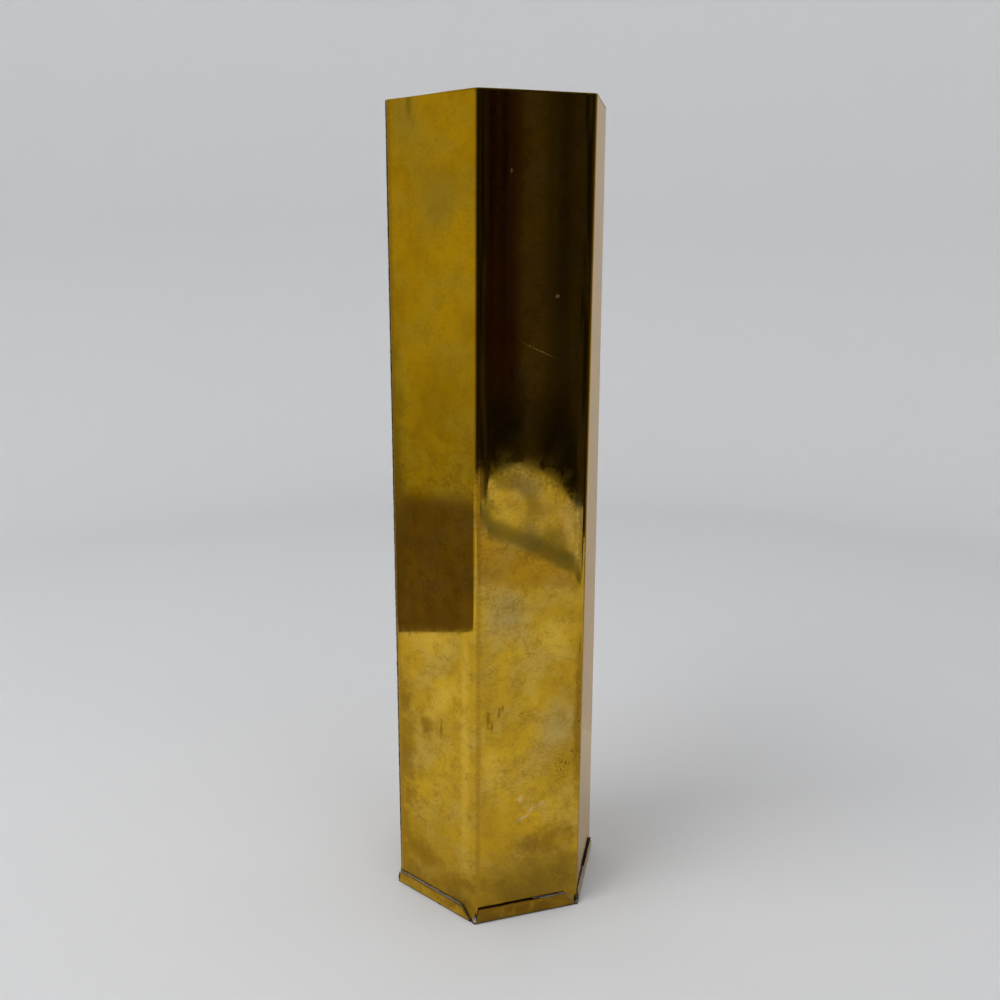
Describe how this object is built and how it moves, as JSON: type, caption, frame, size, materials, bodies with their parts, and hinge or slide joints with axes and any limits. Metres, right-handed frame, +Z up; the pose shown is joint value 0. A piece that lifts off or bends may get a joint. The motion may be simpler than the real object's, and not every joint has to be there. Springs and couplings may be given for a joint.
{
  "type": "umbrella stand",
  "caption": "Tall open six-sided tube of folded brass sheet, soldered into a shallow folded tray, that stands on the floor and keeps umbrellas and sticks upright.",
  "frame": {"origin": "middle of the tray's underside, on the floor", "axes": "+Z up the tube; one flat side, the front, faces -Y, and two corners of the hexagon lie on the X axis"},
  "size_m": [0.1544, 0.1338, 0.545],
  "materials": {
    "brass_body": "polished sheet gone mottled with age, with fine streaks, smudges and a few pits",
    "brass_tray": "hand-cut sheet, duller than the body, darkened along its edges",
    "solder": "dull grey soft solder, scraped and tarnished"
  },
  "bodies": {
    "root": {"front_body_sheet": "brass_body", "rear_body_sheet": "brass_body", "base_tray": "brass_tray", "seam_solder_right": "solder", "seam_solder_left": "solder", "tab_solder_front": "solder", "tab_solder_right_front": "solder", "tab_solder_right_rear": "solder", "tab_solder_rear": "solder", "tab_solder_left_rear": "solder", "tab_solder_left_front": "solder", "corner_solder_front_right": "solder", "corner_solder_right": "solder", "corner_solder_rear_right": "solder", "corner_solder_rear_left": "solder", "corner_solder_left": "solder", "corner_solder_front_left": "solder"}
  },
  "joints": []
}
